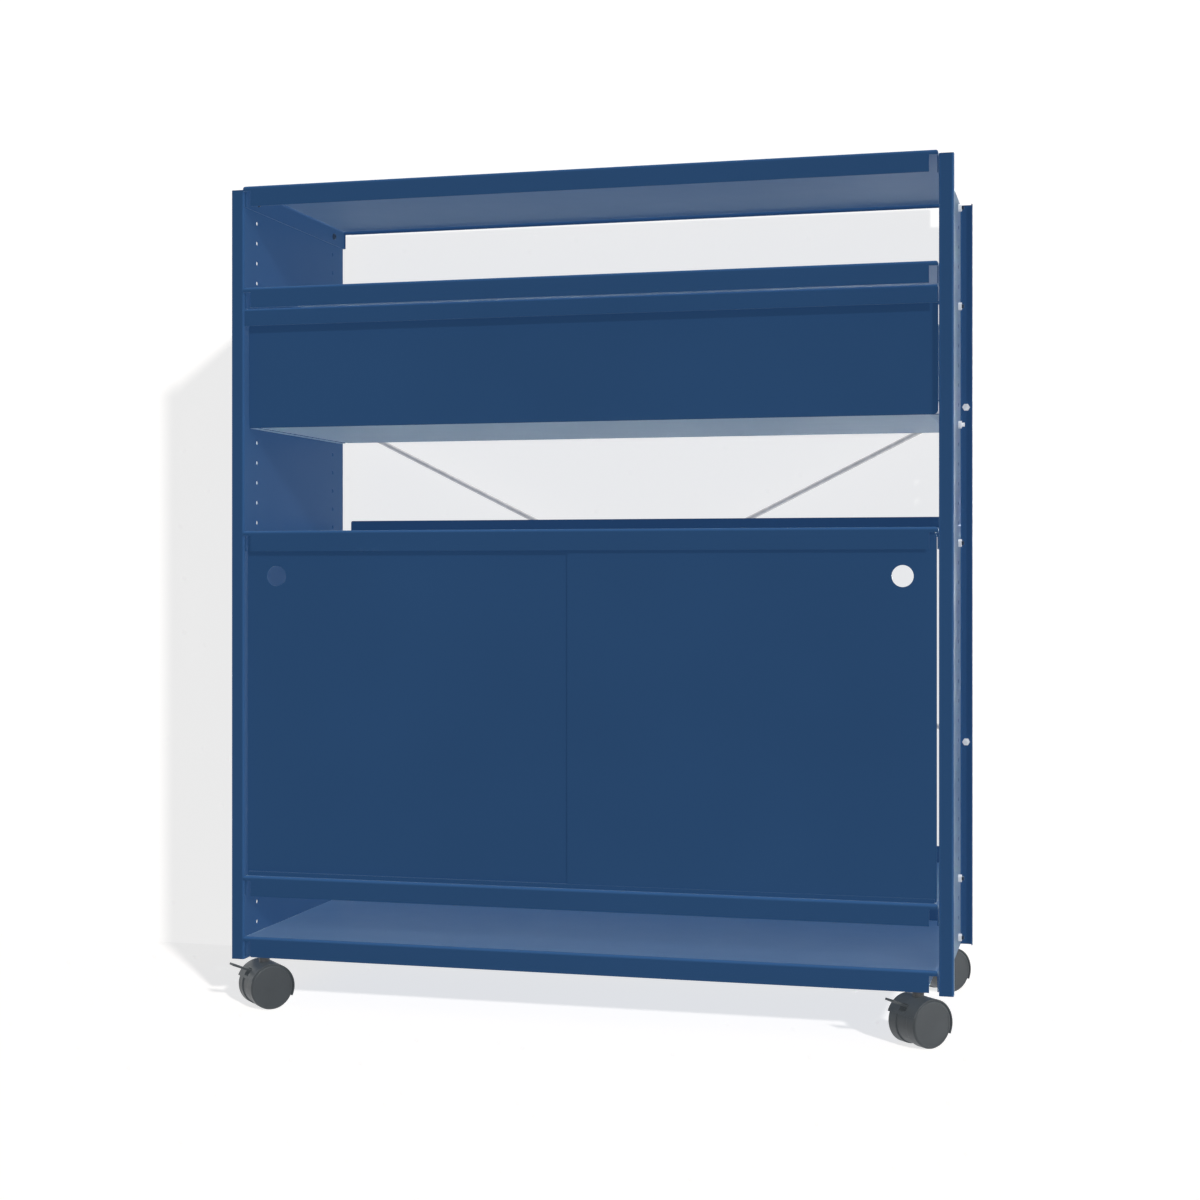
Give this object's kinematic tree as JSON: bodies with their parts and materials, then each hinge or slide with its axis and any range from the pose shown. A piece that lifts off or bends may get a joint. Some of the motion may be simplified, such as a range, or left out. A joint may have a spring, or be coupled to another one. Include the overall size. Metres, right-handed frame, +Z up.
{
  "type": "highboard on castors",
  "caption": "Tall open shelving unit of folded blue sheet steel on swivel castors, with a wide drawer, a cabinet with sliding doors and a rod cross brace at the rear.",
  "frame": {"origin": "on the floor under the middle of the unit", "axes": "+X to the right seen from the front, +Y to the rear, +Z up"},
  "size_m": [1.058, 0.4595, 1.2395],
  "materials": {
    "blue_paint": "smooth satin powder coat",
    "zinc": "zinc plated",
    "grey_steel": "zinc plated rod",
    "castor_plastic": "moulded, fine grain",
    "dark_steel": "dark zinc plated",
    "dark_screw": "dark coated"
  },
  "bodies": {
    "frame": {"brace_nuts": "zinc", "brace_rod_falling": "grey_steel", "brace_rod_rising": "grey_steel", "brace_screws": "zinc", "castor_bearer_left": "blue_paint", "castor_bearer_right": "blue_paint", "castor_nuts": "zinc", "castor_stem_front_left": "dark_steel", "castor_stem_front_right": "dark_steel", "castor_stem_rear_left": "dark_steel", "castor_stem_rear_right": "dark_steel", "door_head_track": "blue_paint", "door_sill_track": "blue_paint", "rail_bottom": "blue_paint", "rail_cabinet_floor": "blue_paint", "rail_cabinet_top": "blue_paint", "rail_drawer": "blue_paint", "rail_top": "blue_paint", "runner_outer_left": "blue_paint", "runner_outer_right": "blue_paint", "runner_screws": "zinc", "shelf_bottom": "blue_paint", "shelf_cabinet_floor": "blue_paint", "shelf_cabinet_top": "blue_paint", "shelf_drawer": "blue_paint", "shelf_screws": "dark_screw", "shelf_top": "blue_paint", "side_panel_left": "blue_paint", "side_panel_right": "blue_paint", "web_nuts": "zinc"},
    "drawer": {"drawer_front": "blue_paint", "drawer_tray": "blue_paint", "runner_inner_left": "zinc", "runner_inner_right": "zinc"},
    "runner_middle_left": {"runner_middle_left": "zinc"},
    "runner_middle_right": {"runner_middle_right": "zinc"},
    "door_left": {"door_left": "blue_paint"},
    "door_right": {"door_right": "blue_paint"},
    "castor_front_left": {"castor_hood_front_left": "castor_plastic", "castor_axle_front_left": "zinc", "pedal_pin_left": "zinc"},
    "wheel_front_left_outer": {"castor_wheel_front_left_outer": "castor_plastic"},
    "wheel_front_left_inner": {"castor_wheel_front_left_inner": "castor_plastic"},
    "castor_front_right": {"castor_hood_front_right": "castor_plastic", "castor_axle_front_right": "zinc", "pedal_pin_right": "zinc"},
    "wheel_front_right_outer": {"castor_wheel_front_right_outer": "castor_plastic"},
    "wheel_front_right_inner": {"castor_wheel_front_right_inner": "castor_plastic"},
    "castor_rear_left": {"castor_hood_rear_left": "castor_plastic", "castor_axle_rear_left": "zinc"},
    "wheel_rear_left_outer": {"castor_wheel_rear_left_outer": "castor_plastic"},
    "wheel_rear_left_inner": {"castor_wheel_rear_left_inner": "castor_plastic"},
    "castor_rear_right": {"castor_hood_rear_right": "castor_plastic", "castor_axle_rear_right": "zinc"},
    "wheel_rear_right_outer": {"castor_wheel_rear_right_outer": "castor_plastic"},
    "wheel_rear_right_inner": {"castor_wheel_rear_right_inner": "castor_plastic"},
    "pedal_left": {"brake_pedal_left": "castor_plastic"},
    "pedal_right": {"brake_pedal_right": "castor_plastic"}
  },
  "joints": [
    {"name": "drawer_slide", "type": "slide", "parent": "frame", "child": "drawer", "axis": [0, -1, 0], "range_m": [0, 0.33]},
    {"name": "runner_slide_left", "type": "slide", "parent": "frame", "child": "runner_middle_left", "axis": [0, -1, 0], "range_m": [0, 0.165]},
    {"name": "runner_slide_right", "type": "slide", "parent": "frame", "child": "runner_middle_right", "axis": [0, -1, 0], "range_m": [0, 0.165]},
    {"name": "door_slide_left", "type": "slide", "parent": "frame", "child": "door_left", "axis": [1, 0, 0], "range_m": [0, 0.493]},
    {"name": "door_slide_right", "type": "slide", "parent": "frame", "child": "door_right", "axis": [-1, 0, 0], "range_m": [0, 0.493]},
    {"name": "swivel_front_left", "type": "hinge", "parent": "frame", "child": "castor_front_left", "pos_m": [-0.4805, -0.186, 0.0325], "axis": [0, 0, 1], "continuous": true},
    {"name": "roll_front_left_outer", "type": "hinge", "parent": "castor_front_left", "child": "wheel_front_left_outer", "pos_m": [-0.47909, -0.18459, 0.0325], "axis": [0.7071, -0.7071, 0], "continuous": true},
    {"name": "roll_front_left_inner", "type": "hinge", "parent": "castor_front_left", "child": "wheel_front_left_inner", "pos_m": [-0.47909, -0.18459, 0.0325], "axis": [0.7071, -0.7071, 0], "continuous": true},
    {"name": "pedal_press_left", "type": "hinge", "parent": "castor_front_left", "child": "pedal_left", "pos_m": [-0.48899, -0.19449, 0.0515], "axis": [0.7071, -0.7071, 0], "range_deg": [0, 20]},
    {"name": "swivel_front_right", "type": "hinge", "parent": "frame", "child": "castor_front_right", "pos_m": [0.4805, -0.186, 0.0325], "axis": [0, 0, 1], "continuous": true},
    {"name": "roll_front_right_outer", "type": "hinge", "parent": "castor_front_right", "child": "wheel_front_right_outer", "pos_m": [0.48191, -0.18459, 0.0325], "axis": [0.7071, -0.7071, 0], "continuous": true},
    {"name": "roll_front_right_inner", "type": "hinge", "parent": "castor_front_right", "child": "wheel_front_right_inner", "pos_m": [0.48191, -0.18459, 0.0325], "axis": [0.7071, -0.7071, 0], "continuous": true},
    {"name": "pedal_press_right", "type": "hinge", "parent": "castor_front_right", "child": "pedal_right", "pos_m": [0.47201, -0.19449, 0.0515], "axis": [0.7071, -0.7071, 0], "range_deg": [0, 20]},
    {"name": "swivel_rear_left", "type": "hinge", "parent": "frame", "child": "castor_rear_left", "pos_m": [-0.4805, 0.186, 0.0325], "axis": [0, 0, 1], "continuous": true},
    {"name": "roll_rear_left_outer", "type": "hinge", "parent": "castor_rear_left", "child": "wheel_rear_left_outer", "pos_m": [-0.47909, 0.18741, 0.0325], "axis": [0.7071, -0.7071, 0], "continuous": true},
    {"name": "roll_rear_left_inner", "type": "hinge", "parent": "castor_rear_left", "child": "wheel_rear_left_inner", "pos_m": [-0.47909, 0.18741, 0.0325], "axis": [0.7071, -0.7071, 0], "continuous": true},
    {"name": "swivel_rear_right", "type": "hinge", "parent": "frame", "child": "castor_rear_right", "pos_m": [0.4805, 0.186, 0.0325], "axis": [0, 0, 1], "continuous": true},
    {"name": "roll_rear_right_outer", "type": "hinge", "parent": "castor_rear_right", "child": "wheel_rear_right_outer", "pos_m": [0.48191, 0.18741, 0.0325], "axis": [0.7071, -0.7071, 0], "continuous": true},
    {"name": "roll_rear_right_inner", "type": "hinge", "parent": "castor_rear_right", "child": "wheel_rear_right_inner", "pos_m": [0.48191, 0.18741, 0.0325], "axis": [0.7071, -0.7071, 0], "continuous": true}
  ],
  "couplings": [
    {"joint": "runner_slide_left", "follows": "drawer_slide", "ratio": 0.5},
    {"joint": "runner_slide_right", "follows": "drawer_slide", "ratio": 0.5}
  ]
}
